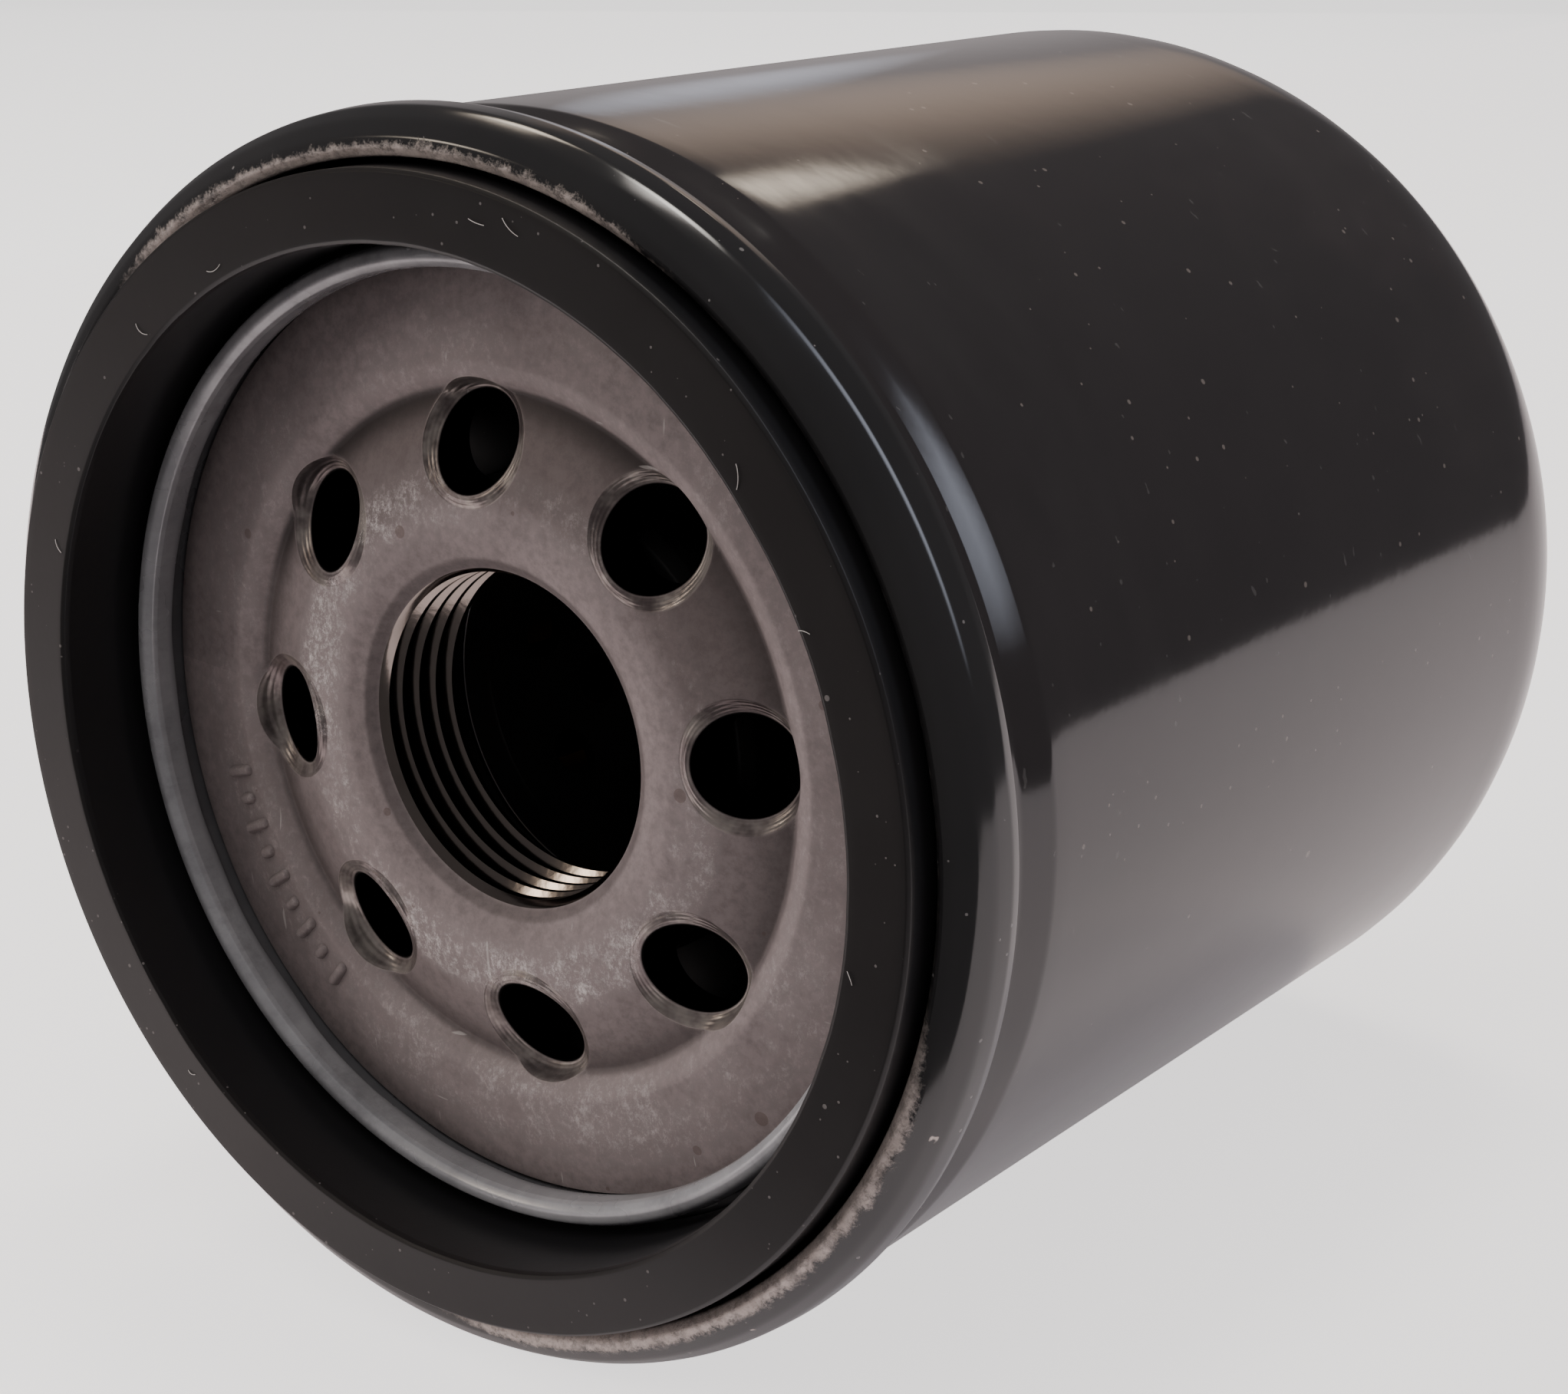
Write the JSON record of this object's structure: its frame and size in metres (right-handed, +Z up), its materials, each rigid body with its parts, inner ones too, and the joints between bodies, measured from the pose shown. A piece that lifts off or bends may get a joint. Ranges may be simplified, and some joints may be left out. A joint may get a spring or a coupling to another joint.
{
  "type": "spin-on oil filter",
  "caption": "Spin-on oil filter: black seamed steel can, rubber gasket and threaded plate with a ring of inlet holes.",
  "frame": {"origin": "centre of the gasket's sealing face, on the filter's axis", "axes": "+Y along the filter's axis from the threaded end into the can, +Z up as the filter lies on its side, +X to the right seen from the threaded end"},
  "size_m": [0.0764, 0.088, 0.0764],
  "materials": {
    "black_paint": "gloss black enamel on drawn sheet steel",
    "phosphated_steel": "matt grey phosphated steel with light scuffs",
    "gasket_rubber": "matt nitrile rubber",
    "valve_rubber": "smooth black nitrile rubber",
    "plated_steel": "tin-plated sheet steel",
    "spring_steel": "drawn spring wire",
    "filter_paper": "resin-stiffened pleated filter paper",
    "adhesive": "cured potting adhesive"
  },
  "bodies": {
    "shell": {"canister": "black_paint", "seaming_lid": "black_paint", "tapping_plate": "phosphated_steel", "sealing_gasket": "gasket_rubber", "antidrain_collar": "valve_rubber", "hold_down_spring": "spring_steel"},
    "antidrain_flap": {"antidrain_flap": "valve_rubber"},
    "element": {"end_cap_front": "plated_steel", "potting_front": "adhesive", "pleated_media": "filter_paper", "media_seam_clip": "plated_steel", "center_tube": "plated_steel", "potting_rear": "adhesive", "end_cap_rear": "plated_steel", "bypass_seat": "plated_steel", "bypass_cage": "plated_steel", "bypass_spring": "spring_steel", "spring_guide": "plated_steel"},
    "bypass_valve": {"bypass_disc": "plated_steel", "bypass_washer": "valve_rubber"}
  },
  "joints": [
    {"name": "antidrain_lift", "type": "slide", "parent": "shell", "child": "antidrain_flap", "axis": [0, 1, 0], "range_m": [0, 0.002], "stiffness_N_per_m": 150, "springref_m": -0.003},
    {"name": "element_float", "type": "slide", "parent": "shell", "child": "element", "axis": [0, 1, 0], "range_m": [0, 0.0025], "stiffness_N_per_m": 3000, "springref_m": -0.01, "deforming": ["hold_down_spring"]},
    {"name": "bypass_open", "type": "slide", "parent": "element", "child": "bypass_valve", "axis": [0, -1, 0], "range_m": [0, 0.0035], "stiffness_N_per_m": 2500, "springref_m": -0.006, "deforming": ["bypass_spring"]}
  ]
}
